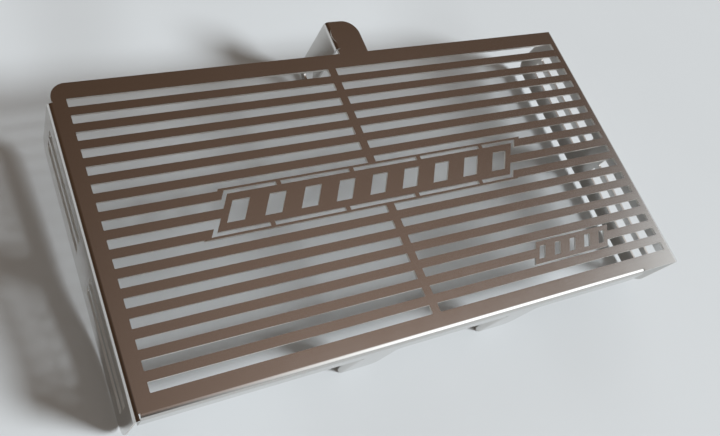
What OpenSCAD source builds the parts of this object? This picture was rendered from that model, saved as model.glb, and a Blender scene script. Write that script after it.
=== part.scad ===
// Radiator guard for a motorcycle: one slotted stainless sheet, folded at
// both sides, along the bottom and at three mounting lugs.
// X runs along the slots, Y up the guard, Z out of its face. The origin is
// the middle of the part in plan, and z = 0 is the end of the top leg.

/* [Sheet] */
// Thickness of the sheet
sheet_t = 1.5; // [1:0.1:2.5]
// Inside radius of every fold
fold_r = 1.5; // [1:0.1:2.5]
// Width of the cut that frees the end of a fold
relief_w = 0.8; // [0.6:0.1:2]
// Run of that cut into the flat past the fold
relief_run = 0.4; // [0.3:0.1:1.2]

/* [Face] */
// Width over the two side flanges
face_w = 381; // [370:1:400]
// Height from the top edge to the outside of the bottom lip
face_h = 192.6; // [188:0.2:215]
// Radius of the top left corner of the face
face_corner_r = 9.5; // [6:0.5:12]

/* [Face slots] */
// Number of slot rows
slot_rows = 16; // [16:1:16]
// Distance from one row to the next
slot_pitch = 11; // [10.5:0.1:11.2]
// Height of one slot
slot_w = 5.5; // [4:0.1:6.5]
// Radius in the corners of a slot
slot_corner_r = 0.5; // [0.2:0.1:1.5]
// Top edge of the face to the middle of the first row
slot_top = 13.4; // [11:0.5:16]
// Solid margin left of the slots
margin_left = 11.2; // [8:0.1:14]
// Solid margin right of the slots
margin_right = 6.9; // [6:0.1:12]
// Width of the upright rib between the two columns
rib_w = 5.6; // [4:0.1:8]
// Middle of that rib, right of the middle of the guard
rib_x = -6.8; // [-12:0.1:0]

/* [Side flanges] */
// Depth of the left flange below the face
flange_left_depth = 42.5; // [40:0.5:48]
// Depth of the right flange below the face
flange_right_depth = 41; // [40:0.5:48]
// Radius of the free corners of a flange
flange_corner_r = 9; // [5:0.5:14]
// Drop of the left flange below the top edge
flange_left_drop = 12.1; // [8:0.1:14]
// Width of a flange slot
flange_slot_w = 7.3; // [5:0.1:8.5]
// Radius in the corners of a flange slot
flange_slot_r = 1; // [0.5:0.1:2]
// Depth of the first row of flange slots below the face
flange_slot_first = 14.9; // [14:0.1:17]
// Distance between the two rows of flange slots
flange_slot_pitch = 11.4; // [10.5:0.1:13]
// Length of each left flange slot
left_slot_len = 69; // [50:0.5:72]
// Top edge of the face to the start of the first left slot
left_slot_start = 22; // [20:0.1:26]
// Solid web between the two left slots of a row
left_slot_gap = 22.3; // [16:0.1:26]
// Length of each right flange slot
right_slot_len = 75.6; // [60:0.5:78]
// Top edge of the face to the start of the first right slot
right_slot_start = 12; // [10:0.1:16]
// Solid web between the two right slots of a row
right_slot_gap = 18.2; // [14:0.1:24]

/* [Bottom lip] */
// Depth of the lip below the face
lip_depth = 14; // [9:0.5:18]
// Right edge of the guard to the right end of the lip
lip_short = 33.6; // [25:0.1:50]
// Step up from the outside of the lip to the plain edge right of it
edge_step = 1.3; // [0.5:0.1:2]

/* [Lower lugs] */
// Left side of the guard to the fold of the first lug
lug_first = 133.3; // [110:0.1:145]
// Distance between the two lugs
lug_pitch = 105.2; // [80:0.1:115]
// Depth of a lug below the face
lug_depth = 45.5; // [38:0.5:48]
// Width of a lug at its lower end
lug_foot = 26; // [20:0.5:32]
// Radius where the lug runs into the lip
lug_fillet = 4; // [2:0.5:6]
// Radius of the lower corner of a lug
lug_corner_r = 5; // [2:0.5:8]
// Gap between the edge of the lip and the folded strap
strap_gap = 1.5; // [1:0.1:4]
// Reach of the strap from the outside of the lip
strap_reach = 15; // [13:0.5:17]
// Radius of the strap's free corners
strap_corner_r = 5; // [2:0.5:6]
// Outside of the lip to the middle of the strap's bore
strap_bore_y = 8; // [7.5:0.1:9]
// Bore in the strap
strap_bore = 6.5; // [4:0.1:7]

/* [Top lug] */
// Middle of the guard to the outside of the leg
top_lug_x = 2.7; // [-10:0.1:20]
// Width of the lug
top_lug_w = 23; // [18:0.1:30]
// Rise of the lug above the top edge
top_lug_rise = 25.9; // [24:0.1:32]
// Outside of the leg to the edge of the lug below it
lug_root = 1; // [0.5:0.1:2.5]
// Radius of its right corner
top_lug_corner_r = 11; // [6:0.5:14]
// Width of the folded leg
leg_w = 21.6; // [18:0.2:22.5]
// Reach of the leg from the outside of the face
leg_reach = 51.8; // [49:0.1:60]
// Bore for the grommet
leg_bore = 13.4; // [8:0.1:16]

/* [Main panel] */
// Height of the panel
panel_h = 21.8; // [20:0.1:22.5]
// Top edge of the face to the middle of the panel
panel_y = 95.55; // [95:0.05:96]
// Left side of the guard to the left end of the panel at its middle
panel_left = 78; // [65:0.5:85]
// Right side of the guard to the right end of the panel at its middle
panel_right = 94; // [80:0.5:105]
// Gap round the panel
panel_gap = 2.4; // [1.5:0.1:2.8]
// Width of the strip along the gap
panel_strip = 1.4; // [1.2:0.1:2]
// Lean of the panel's ends and windows, across over up
panel_lean = 0.6; // [0.3:0.05:0.9]
// Number of windows
window_count = 9; // [5:1:11]
// Length of one window
window_w = 11; // [6:0.5:12]
// Solid edge above and below the windows
window_edge = 4.5; // [3:0.1:6]
// Width of a bridge to the strips
bridge_w = 3; // [2:0.1:5]
// Distance between bridges
bridge_pitch = 50; // [30:1:60]

/* [Small panel] */
// Height of the small panel
badge_h = 14; // [12:0.1:15]
// Width of the small panel
badge_w = 62.5; // [50:0.5:70]
// Right edge of the guard to the middle of the small panel
badge_right = 79.2; // [65:0.5:90]
// Number of its windows
badge_count = 5; // [3:1:6]
// Length of one of its windows
badge_window_w = 5; // [3:0.1:6]
// Solid edge round its windows
badge_edge = 3; // [2:0.1:4]

/* [Hidden] */
$fn = 64;
eps = 0.01;
bend_r = fold_r + sheet_t;
face_z = leg_reach;
left_x = -face_w / 2;
right_x = face_w / 2;
top_y = (face_h - top_lug_rise) / 2;
low_y = top_y - face_h;
lip_end = right_x - lip_short;
edge_y = low_y + edge_step;
strap_w = lug_depth - lip_depth - strap_gap;
row_y = [for (k = [0 : slot_rows - 1]) top_y - slot_top - slot_pitch * k];

// A quarter of a folded edge, with its inside in the +x +y corner.
module fold_2d() {
    intersection() {
        difference() {
            circle(bend_r);
            circle(fold_r);
        }
        translate([-bend_r, -bend_r]) square(bend_r);
    }
}

// A fold and the flat that runs on from it: the face side ends at x = bend_r,
// the flat runs along +y from the fold to y = depth.
module angle_2d(depth) {
    translate([bend_r, bend_r]) fold_2d();
    translate([0, bend_r]) square([sheet_t, depth - bend_r]);
}

// A bar with rounded corners, from its lower left corner.
module round_bar_2d(w, h, r) {
    translate([r, 0]) square([w - 2 * r, h]);
    translate([0, r]) square([w, h - 2 * r]);
    for (x = [r, w - r], y = [r, h - r]) translate([x, y]) circle(r);
}

// A leaning bar between two heights, its middle line at x0 to x1.
module lean_2d(x0, x1, y0, y1, mid) {
    polygon([
        [x0 + (y0 - mid) * panel_lean, y0],
        [x1 + (y0 - mid) * panel_lean, y0],
        [x1 + (y1 - mid) * panel_lean, y1],
        [x0 + (y1 - mid) * panel_lean, y1]
    ]);
}

module row_slots_2d() {
    for (y = row_y) {
        translate([left_x + margin_left, y - slot_w / 2])
            round_bar_2d(rib_x - rib_w / 2 - left_x - margin_left, slot_w, slot_corner_r);
        translate([rib_x + rib_w / 2, y - slot_w / 2])
            round_bar_2d(right_x - margin_right - rib_x - rib_w / 2, slot_w, slot_corner_r);
    }
}

// The leaning panel in rows 7 and 8, held by the bar between them and by
// bridges to a thin strip above and below.
module main_panel_2d() {
    mid = top_y - panel_y;
    half = panel_h / 2;
    x0 = left_x + panel_left;
    x1 = right_x - panel_right;
    gap_top = mid + half + panel_gap;
    gap_low = mid - half - panel_gap;
    lean_gap = panel_gap * sqrt(1 + panel_lean * panel_lean);
    run = (x1 - x0 - 2 * window_edge - window_w) / (window_count - 1);
    difference() {
        union() {
            difference() {
                row_slots_2d();
                lean_2d(x0 - lean_gap - 4, x1 + lean_gap + 4, gap_top, gap_top + panel_strip, mid);
                lean_2d(x0 - lean_gap - 4, x1 + lean_gap + 4, gap_low - panel_strip, gap_low, mid);
            }
            difference() {
                lean_2d(x0 - lean_gap, x1 + lean_gap, gap_low, gap_top, mid);
                translate([left_x, (row_y[7] + row_y[8] - slot_pitch + slot_w) / 2])
                    square([face_w, slot_pitch - slot_w]);
                for (k = [-2 : 1]) {
                    translate([rib_x + (k + 0.65) * bridge_pitch, mid]) square([bridge_w, half + panel_gap + eps]);
                    translate([rib_x + (k + 0.4) * bridge_pitch, gap_low - eps]) square([bridge_w, half + panel_gap]);
                }
            }
        }
        lean_2d(x0, x1, mid - half, mid + half, mid);
    }
    for (k = [0 : window_count - 1])
        lean_2d(x0 + window_edge + k * run, x0 + window_edge + window_w + k * run,
            mid - half + window_edge, mid + half - window_edge, mid);
}

module small_panel_2d() {
    mid = (row_y[13] + row_y[14]) / 2;
    x0 = right_x - badge_right - badge_w / 2;
    run = (badge_w - 2 * badge_edge - badge_window_w) / (badge_count - 1);
    difference() {
        main_panel_2d();
        lean_2d(x0, x0 + badge_w, mid - badge_h / 2, mid + badge_h / 2, mid);
    }
    for (k = [0 : badge_count - 1])
        lean_2d(x0 + badge_edge + k * run, x0 + badge_edge + badge_window_w + k * run,
            mid - badge_h / 2 + badge_edge, mid + badge_h / 2 - badge_edge, mid);
}

// The flat of the face and the flat of the top lug.
module face_2d() {
    difference() {
        union() {
            // flat between the folds
            translate([left_x + bend_r, low_y + bend_r])
                square([face_w - 2 * bend_r, face_h - bend_r - face_corner_r]);
            translate([left_x + bend_r + face_corner_r, low_y + bend_r])
                square([face_w - face_corner_r - 2 * bend_r, face_h - bend_r]);
            translate([left_x + bend_r + face_corner_r, top_y - face_corner_r]) circle(face_corner_r);
            // plain edge right of the lip
            translate([lip_end + relief_w, edge_y])
                square([right_x - bend_r - lip_end - relief_w, bend_r]);
            // top lug, with its root below the leg
            translate([top_lug_x + lug_root, top_y - eps])
                square([bend_r, top_lug_rise - leg_w - relief_w + eps]);
            translate([top_lug_x + bend_r, top_y - eps])
                square([top_lug_w - bend_r, top_lug_rise - top_lug_corner_r + eps]);
            translate([top_lug_x + bend_r, top_y])
                square([top_lug_w - bend_r - top_lug_corner_r, top_lug_rise]);
            translate([top_lug_x + top_lug_w - top_lug_corner_r, top_y + top_lug_rise - top_lug_corner_r])
                circle(top_lug_corner_r);
        }
        small_panel_2d();
        // ends of the cuts above the left fold and between it and the lip
        translate([left_x + bend_r - relief_w, top_y - flange_left_drop])
            square([relief_w + relief_run, relief_w]);
        translate([left_x + bend_r, low_y]) square([relief_w, bend_r + relief_run]);
    }
}

// What a rounded free corner of a flange takes off.
module flange_corner_2d() {
    difference() {
        translate([0, -flange_corner_r - 1]) square(flange_corner_r + 1);
        circle(flange_corner_r);
    }
}

// A side flange on the left, from y0 to y1, with its fold.
module side_flange(y0, y1, depth, slot_start, slot_len, slot_gap) {
    corner_z = face_z - depth + flange_corner_r;
    difference() {
        translate([left_x, y1, face_z])
            rotate([90, 0, 0])
                mirror([0, 1, 0])
                    linear_extrude(y1 - y0) angle_2d(depth);
        // free corners
        translate([left_x - 1, y1 - flange_corner_r, corner_z])
            rotate([90, 0, 90])
                linear_extrude(bend_r + 1) flange_corner_2d();
        translate([left_x - 1, y0 + flange_corner_r, corner_z])
            rotate([90, 0, 90])
                linear_extrude(bend_r + 1) mirror([1, 0]) flange_corner_2d();
        // slots, two columns of two
        for (row = [0, 1], col = [0, 1])
            translate([
                left_x - 1,
                top_y - slot_start - slot_len - col * (slot_len + slot_gap),
                face_z - flange_slot_first - flange_slot_w / 2 - row * flange_slot_pitch
            ])
                rotate([90, 0, 90])
                    linear_extrude(bend_r + 1) round_bar_2d(slot_len, flange_slot_w, flange_slot_r);
    }
}

// A lower lug with its strap, the outside of the fold at x = 0 and the
// outside of the lip at y = 0.
module lower_lug() {
    lug_z = face_z - lug_depth;
    lip_z = face_z - lip_depth;
    // flat of the lug, in the plane of the lip
    translate([0, sheet_t, 0])
        rotate([90, 0, 0])
            linear_extrude(sheet_t) {
                translate([bend_r, lug_z + lug_corner_r])
                    square([lug_foot - bend_r, lip_z - lug_z - lug_corner_r]);
                translate([bend_r, lug_z])
                    square([lug_foot - bend_r - lug_corner_r, lip_z - lug_z]);
                translate([lug_foot - lug_corner_r, lug_z + lug_corner_r]) circle(lug_corner_r);
                difference() {
                    translate([lug_foot, lip_z - lug_fillet]) square(lug_fillet);
                    translate([lug_foot + lug_fillet, lip_z - lug_fillet]) circle(lug_fillet);
                }
            }
    // folded strap
    translate([0, 0, lug_z])
        intersection() {
            linear_extrude(strap_w) angle_2d(strap_reach);
            rotate([90, 0, 90])
                linear_extrude(bend_r)
                    difference() {
                        union() {
                            translate([-1, 0]) square([strap_reach - strap_corner_r + 1, strap_w]);
                            translate([-1, strap_corner_r]) square([strap_reach + 1, strap_w - 2 * strap_corner_r]);
                            for (y = [strap_corner_r, strap_w - strap_corner_r])
                                translate([strap_reach - strap_corner_r, y]) circle(strap_corner_r);
                        }
                        translate([strap_bore_y, strap_w / 2]) circle(d = strap_bore);
                    }
        }
}

// The leg folded back from the left side of the top lug.
module top_leg() {
    leg_mid = top_y + top_lug_rise - leg_w / 2;
    difference() {
        translate([top_lug_x, top_y + top_lug_rise, face_z])
            rotate([90, 0, 0])
                mirror([0, 1, 0])
                    linear_extrude(leg_w) angle_2d(leg_reach);
        translate([top_lug_x - 1, leg_mid, leg_w / 2])
            rotate([90, 0, 90])
                linear_extrude(bend_r + 1) {
                    circle(d = leg_bore);
                    difference() {
                        translate([-leg_w / 2 - 1, -leg_w / 2 - 1]) square([leg_w + 2, leg_w / 2 + 1]);
                        circle(d = leg_w);
                    }
                }
    }
}

module guard() {
    color([0.72, 0.70, 0.68]) {
        translate([0, 0, face_z - sheet_t]) linear_extrude(sheet_t) face_2d();
        // left flange
        side_flange(low_y, top_y - flange_left_drop, flange_left_depth, left_slot_start, left_slot_len, left_slot_gap);
        // right flange, up to the top edge
        mirror([1, 0, 0])
            side_flange(edge_y, top_y, flange_right_depth, right_slot_start, right_slot_len, right_slot_gap);
        // bottom lip
        translate([left_x + bend_r + relief_w, low_y, face_z])
            rotate([90, 0, 90])
                mirror([0, 1, 0])
                    linear_extrude(lip_end - left_x - bend_r - relief_w) angle_2d(lip_depth);
        for (k = [0, 1])
            translate([left_x + lug_first + k * lug_pitch, low_y, 0]) lower_lug();
        top_leg();
    }
}

guard();
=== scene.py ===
# %% [markdown]
# # A motorcycle's radiator guard, folded from one stainless sheet
# The guard is a laser-cut sheet with rows of slots, folded down at both
# sides, along its lower edge and at three lugs. Its whole shape comes from
# the CAD model, because a folded sheet is exact work. What is left for
# Blender is the finish of the steel, the table it lies on, the room that the
# steel mirrors, and the camera.

import bpy
import numpy as np
from mathutils import Matrix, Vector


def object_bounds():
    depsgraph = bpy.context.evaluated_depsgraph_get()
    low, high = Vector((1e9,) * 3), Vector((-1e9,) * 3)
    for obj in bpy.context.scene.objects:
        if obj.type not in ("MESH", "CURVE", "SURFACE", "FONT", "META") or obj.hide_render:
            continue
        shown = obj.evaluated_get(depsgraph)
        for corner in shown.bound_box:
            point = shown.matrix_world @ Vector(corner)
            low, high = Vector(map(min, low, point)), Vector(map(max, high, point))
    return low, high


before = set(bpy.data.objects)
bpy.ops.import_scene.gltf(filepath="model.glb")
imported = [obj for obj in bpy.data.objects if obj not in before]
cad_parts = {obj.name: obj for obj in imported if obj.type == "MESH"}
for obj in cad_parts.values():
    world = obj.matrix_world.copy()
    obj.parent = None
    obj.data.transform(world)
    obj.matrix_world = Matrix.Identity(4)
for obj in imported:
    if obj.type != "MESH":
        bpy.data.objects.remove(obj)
cad_low, cad_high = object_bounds()
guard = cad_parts["guard"]
print("guard from", [round(v, 4) for v in cad_low], "to", [round(v, 4) for v in cad_high])

# %% [markdown]
# ## The camera
# The photograph was taken from above the lower left corner. A camera can be
# placed by eye, but here the ends of the slots gave it: they lie on a known
# grid, so the place, the turn and the focal length that put the grid on the
# picture can be solved for. The lens's middle comes out away from the
# picture's middle, as if the picture had been trimmed, and a small shift says
# so.

# %% Camera
PICTURE_WIDTH, PICTURE_HEIGHT = 720, 436
FOCAL_PIXELS, MIDDLE_X, MIDDLE_Y = 740.08, 246.74, 230.39
SENSOR_MM = 36


def standing(place, right, up, back):
    """The matrix of a thing at place whose own axes point right, up and back."""
    turn = Matrix(np.stack([right, up, back], axis=1).tolist())
    return Matrix.Translation(place) @ turn.to_4x4()


camera_data = bpy.data.cameras.new("camera")
camera = bpy.data.objects.new("camera", camera_data)
bpy.context.collection.objects.link(camera)
bpy.context.scene.camera = camera

camera_place = (-0.26126, -0.15781, 0.40708)
camera_right = np.array([0.90400, -0.31742, 0.28641])
camera_up = np.array([0.18197, 0.89186, 0.41409])
camera_back = np.cross(camera_right, camera_up)
camera.matrix_world = standing(camera_place, camera_right, camera_up, camera_back)

camera_data.sensor_width = SENSOR_MM
camera_data.lens = FOCAL_PIXELS / PICTURE_WIDTH * SENSOR_MM
camera_data.shift_x = (PICTURE_WIDTH / 2 - MIDDLE_X) / PICTURE_WIDTH
camera_data.shift_y = (MIDDLE_Y - PICTURE_HEIGHT / 2) / PICTURE_WIDTH
camera_data.clip_start, camera_data.clip_end = 0.01, 20
print("lens", round(camera_data.lens, 2), "mm")
print("shift", round(camera_data.shift_x, 4), round(camera_data.shift_y, 4))

# %% [markdown]
# ## Shader maths as Python
# Every finish below is a small sum of patterns. Nodes could be wired one by
# one, but a sum is easier to read as a sum, so a `Wire` wraps a socket, and
# Python's own signs on it add the Math nodes. One method adds any other
# node. A blend and a step are used all over, so they have methods too.

# %% Wires
class Wire:
    """A shader socket: + - * ** and abs() add Math nodes, and add() makes any other node."""

    def __init__(self, tree, socket=None):
        self.tree, self.socket = tree, socket

    def add(self, kind, settings=None, inputs=None, out=0):
        """Makes a node: its settings first, then its sockets' values or links."""
        node = self.tree.nodes.new(kind)
        for name, value in (settings or {}).items():
            setattr(node, name, value)
        for name, value in (inputs or {}).items():
            if isinstance(value, Wire):
                self.tree.links.new(value.socket, node.inputs[name])
            else:
                node.inputs[name].default_value = value
        return Wire(self.tree, node.outputs[out])

    def out(self, name):
        """Another output of the same node."""
        return Wire(self.tree, self.socket.node.outputs[name])

    def maths(self, operation, *values):
        """A Math node on these values or wires."""
        return self.add("ShaderNodeMath", {"operation": operation}, dict(enumerate(values)))

    def __add__(self, other): return self.maths("ADD", self, other)
    def __radd__(self, other): return self.maths("ADD", other, self)
    def __sub__(self, other): return self.maths("SUBTRACT", self, other)
    def __rsub__(self, other): return self.maths("SUBTRACT", other, self)
    def __mul__(self, other): return self.maths("MULTIPLY", self, other)
    def __rmul__(self, other): return self.maths("MULTIPLY", other, self)
    def __pow__(self, other): return self.maths("POWER", self, other)
    def __rpow__(self, other): return self.maths("POWER", other, self)
    def __abs__(self): return self.maths("ABSOLUTE", self)

    def step(self, low, high):
        """0 below low, 1 above high, and a smooth rise between them."""
        return self.add("ShaderNodeMapRange", {"interpolation_type": "SMOOTHSTEP"},
                        {"Value": self, "From Min": low, "From Max": high, "To Min": 0, "To Max": 1})

    def blend(self, low, high):
        """The colour low where this wire is 0, high where it is 1."""
        return self.add("ShaderNodeMix", {"data_type": "RGBA"}, {0: self, 6: low, 7: high}, out=2)


def new_tree(owner):
    """An empty node tree on a material or world, and a wire to start from."""
    owner.use_nodes = True
    owner.node_tree.nodes.clear()
    return Wire(owner.node_tree)


def finish_tree(shader, kind):
    """Links a shader to the output node of its tree."""
    end = shader.tree.nodes.new(kind)
    shader.tree.links.new(shader.socket, end.inputs["Surface"])


print("wires ready")

# %% [markdown]
# ## Brushed stainless steel
# The sheet left the mill with a fine grain along the slots, which blurs what
# it mirrors a little. It could be one grey metal, but the real one has more
# to it: hair-thin grain lines, wide soft stains that change the gloss, and
# cut edges that are rougher than the faces. The cut edges are also painted
# paler, a painted highlight for the light they catch. All of these are
# patterns on the object's own coordinates, so they stay in place on the
# sheet from every side.

# %% Where the steel was cut
SHEET = 0.0015
FOLD = 0.003
RIM = 0.0003
TURNED = (0.3, 0.6)

steel = bpy.data.materials.new("brushed_stainless")
start = new_tree(steel)
place = start.add("ShaderNodeTexCoord", out="Object")
axes = start.add("ShaderNodeSeparateXYZ", inputs={0: place})
x, y, z = axes, axes.out("Y"), axes.out("Z")
normal = start.add("ShaderNodeNewGeometry", out="True Normal")
facing = start.add("ShaderNodeSeparateXYZ", inputs={0: normal})
sideways, upward = abs(facing), abs(facing.out("Z"))


def in_sheet(wire, outer):
    """1 within one sheet's thickness of its outer side, 0 deeper in."""
    return wire.step(outer - SHEET * 1.1, outer - SHEET * 0.9)


# The cut faces found here get extra roughness, which is the real cut finish, and a paler painted highlight.
fold_x, fold_y, fold_z = cad_high[0] - FOLD, cad_low[1] + FOLD, cad_high[2] - FOLD
inside = (1 - abs(x).step(fold_x - RIM, fold_x)) * y.step(fold_y, fold_y + RIM)
face_cut = (1 - upward.step(*TURNED)) * in_sheet(z, cad_high[2]) * inside
below_fold = 1 - z.step(fold_z - RIM, fold_z)
flange_cut = (1 - sideways.step(*TURNED)) * in_sheet(abs(x), cad_high[0]) * below_fold
cut_roughness_and_painted_highlight = face_cut.maths("MAXIMUM", face_cut, flange_cut)
print("cut edges on the face and on the flanges")

# %% [markdown]
# ## Grain, stains and finish
# Three noises make the finish. One is stretched along the slots and gives the
# grain, and two are even and give the wide and the small stains. The grain
# and the wide stains change the colour a little. All three change the
# roughness, because a smudge on steel is seen mostly in the gloss.

# %% Grain, stains and finish
GRAIN_SCALE = (14, 900, 900)
STAIN_SCALE, FINE_STAIN_SCALE = 16, 90
DARK_STEEL, PALE_STEEL = (0.60, 0.585, 0.565, 1), (0.72, 0.705, 0.685, 1)
# Painted highlight: the paler colour given to the cut faces for the light they catch.
CUT_EDGE_PAINTED_HIGHLIGHT = (0.74, 0.71, 0.67, 1)
ROUGHNESS, CUT_ROUGHNESS = 0.165, 0.22


def noise(vector, scale, detail, roughness):
    """A noise from 0 to 1, with its middle near 0.5."""
    return start.add("ShaderNodeTexNoise", {},
                     {"Vector": vector, "Scale": scale, "Detail": detail, "Roughness": roughness})


grain_place = start.add("ShaderNodeMapping", {"vector_type": "POINT"},
                        {"Vector": place, "Scale": GRAIN_SCALE})
grain = noise(grain_place, 1, 3, 0.6)
stain = noise(place, STAIN_SCALE, 4, 0.55)
fine_stain = noise(place, FINE_STAIN_SCALE, 3, 0.6)
tone = (grain - 0.5) * 0.16 + (stain - 0.5) * 0.12 + 0.5
colour = tone.blend(DARK_STEEL, PALE_STEEL)
# Painted highlight: where the sheet was cut, its faces are painted paler.
colour = cut_roughness_and_painted_highlight.blend(colour, CUT_EDGE_PAINTED_HIGHLIGHT)
marks = (stain - 0.5) * 0.10 + (fine_stain - 0.5) * 0.05 + (grain - 0.5) * 0.06
gloss = ROUGHNESS + marks + cut_roughness_and_painted_highlight * CUT_ROUGHNESS
bump = start.add("ShaderNodeBump", {},
                 {"Height": grain + stain * 0.6, "Strength": 0.03, "Distance": 0.0001})
shine = start.add("ShaderNodeBsdfPrincipled", {},
                  {"Base Color": colour, "Metallic": 1, "Roughness": gloss, "Normal": bump})
finish_tree(shine, "ShaderNodeOutputMaterial")
for slot in guard.material_slots:
    slot.material = steel
print("steel on", len(guard.material_slots), "slot")

# %% [markdown]
# ## The table
# The guard rests on the end of its top leg and on its two lower lugs. A flat
# board through those three places would leave a wide gap below both flanges,
# but the photograph shows their shadows starting almost at their edges. So
# the table here sags by a few millimetres under the three feet, comes up on
# both sides and dips a little at the left. This shape is a guess: its numbers
# were tuned until the shadows fell like the photograph's. It is a grid of
# heights, fine near the guard and coarse far out, with one plain pale paint.

# %% Table
LEG_FOOT_Y, LUG_FOOT_Y = 0.0985, cad_low[1]
LUG_FOOT_Z = cad_high[2] - 0.0455
UNDER_FEET = 0.0002
FINE_REACH, FINE_LINES = 0.32, 129
TABLE_DARK, TABLE_PALE = (0.67, 0.69, 0.70, 1), (0.71, 0.73, 0.74, 1)


def smooth(t, low, high):
    """0 below low, 1 above high, and a smooth rise between them, for arrays."""
    t = np.clip((t - low) / (high - low), 0, 1)
    return t * t * (3 - 2 * t)


fine = np.linspace(-FINE_REACH, FINE_REACH, FINE_LINES)
coarse = np.array([0.36, 0.42, 0.55, 0.8, 1.3, 2.0, 3.0])
line = np.concatenate([-coarse[::-1], fine, coarse])
gx, gy = np.meshgrid(line, line, indexing="ij")
feet = (LEG_FOOT_Y - gy) / (LEG_FOOT_Y - LUG_FOOT_Y) * LUG_FOOT_Z
lean = 0.0265 - 0.0165 * np.tanh(gx / 0.15)
cover = 0.0090 - (0.25 * np.tanh(gy / 0.25) + 0.095) * lean
dip = smooth(-gx, 0.100, 0.190) * (1 - smooth(-gx, 0.28, 0.90)) * (1 - smooth(gy, 0.13, 0.70))
cover = cover - dip * (0.0042 * smooth(gy, -0.066, -0.010) + 0.0012 * smooth(gy, 0, 0.100))
sag = (1 - smooth(abs(gx), 0.080, 0.180)) * (1 - smooth(gy, 0.100, 0.200)) * smooth(gy, -0.240, -0.112)
gz = cover + (feet - cover) * sag - UNDER_FEET
count = len(line)
index = np.arange(count * count).reshape(count, count)
corners = [index[:-1, :-1], index[1:, :-1], index[1:, 1:], index[:-1, 1:]]
squares = np.stack(corners, axis=-1).reshape(-1, 4)
board = bpy.data.meshes.new("table")
board.from_pydata(np.stack([gx, gy, gz], axis=-1).reshape(-1, 3).tolist(), [], squares.tolist())
board.shade_smooth()
table = bpy.data.objects.new("table", board)
bpy.context.collection.objects.link(table)

paint = bpy.data.materials.new("white_board")
begin = new_tree(paint)
spot = begin.add("ShaderNodeTexCoord", out="Object")
cloud = begin.add("ShaderNodeTexNoise", {}, {"Vector": spot, "Scale": 7, "Detail": 3})
white = cloud.blend(TABLE_DARK, TABLE_PALE)
skin = begin.add("ShaderNodeBsdfPrincipled", {},
                 {"Base Color": white, "Roughness": 0.45, "Specular IOR Level": 0.3})
finish_tree(skin, "ShaderNodeOutputMaterial")
board.materials.append(paint)
print("table of", len(squares), "squares, lowest", round(float(gz[abs(gx) < 0.2].min()), 4))

# %% [markdown]
# ## The room
# Steel looks like what stands around it, and the photograph's steel is brown
# and bright at its right end. A studio would make it grey. The room here is
# pale up to well above the horizon, where the camera looks past the table,
# and brown overhead, with a window at the front right. The camera and the
# steel see the same room, and rays that light the table get one plain soft
# level instead. The room's colours and places were tuned by comparing renders
# with the photograph.

# %% Room
world = bpy.data.worlds.new("room")
bpy.context.scene.world = world
begin = new_tree(world)
way = begin.add("ShaderNodeTexCoord", out="Generated")
across = begin.add("ShaderNodeSeparateXYZ", inputs={0: way})
wx, wy, wz = across, across.out("Y"), across.out("Z")


def glow(direction, width):
    """exp(-(distance / width)^2), the distance taken between unit directions."""
    dx, dy, dz = (w - c for w, c in zip((wx, wy, wz), direction))
    return np.e ** ((dx * dx + dy * dy + dz * dz) * (-1 / width ** 2))


FRONT_BROWN, BACK_BROWN = (0.030, 0.020, 0.015, 1), (0.066, 0.037, 0.021, 1)
LEFT_BROWN, CEILING = (0.055, 0.030, 0.016, 1), (0.40, 0.29, 0.235, 1)
PALE_WALL, SOFT_LEVEL = (0.66, 0.68, 0.69, 1), (0.22, 0.19, 0.165, 1)
GLEAM, PANE = (1.90, 2.05, 2.12, 1), (2.2, 2.3, 2.35, 1)

room = wy.step(-0.06, 0.54).blend(FRONT_BROWN, BACK_BROWN)
room = glow((0.42, -0.09, 0.75), 0.44).blend(room, CEILING)
room = ((1 - wx.step(-0.75, -0.25)) * wz.step(0.10, 0.30)).blend(room, LEFT_BROWN)
room = (1 - wz.step(0.26, 0.46)).blend(room, PALE_WALL)
room = glow((0.864, 0.059, 0.508), 0.125).blend(room, GLEAM)
pane = (1 - wy.step(-0.24, 0.14)) * wz.step(0.28, 0.52) * wx.step(0.18, 0.70)
room = pane.blend(room, PANE)

ray = begin.add("ShaderNodeLightPath")
seen = ray.maths("MAXIMUM", ray.out("Is Camera Ray"), ray.out("Is Transmission Ray"))
seen = seen.maths("MAXIMUM", seen, ray.out("Is Glossy Ray"))
shade = seen.blend(SOFT_LEVEL, room)
shell = begin.add("ShaderNodeBackground", {}, {"Color": shade, "Strength": 1})
finish_tree(shell, "ShaderNodeOutputWorld")
print("room made")

# %% [markdown]
# ## The window
# The shadows fall to the left and a little up the guard, with soft rims, so
# the light is wide and comes from the front right. It lights the whole table
# evenly. The steel doesn't mirror it a second time, because the room above
# already has the window.

# %% Window
lamp_data = bpy.data.lights.new("window", "SUN")
lamp = bpy.data.objects.new("window", lamp_data)
bpy.context.collection.objects.link(lamp)
azimuth, height = np.radians(-31), np.radians(35)
toward = np.array([np.cos(height) * np.cos(azimuth), np.cos(height) * np.sin(azimuth), np.sin(height)])
right = np.cross([0, 0, 1], toward)
right = right / np.linalg.norm(right)
lamp.matrix_world = standing((0, 0, 0), right, np.cross(toward, right), toward)
lamp_data.angle = 0.33
lamp_data.energy = 4.27
lamp.visible_glossy = False
lamp_data.color = (0.93, 0.985, 1.03)
print("light comes from", [round(float(v), 2) for v in toward])

# %% [markdown]
# ## The closing lines
# The view transform is Standard, so colours come out as they were worked out.

# %% Finish
bpy.context.scene.view_settings.view_transform = "Standard"
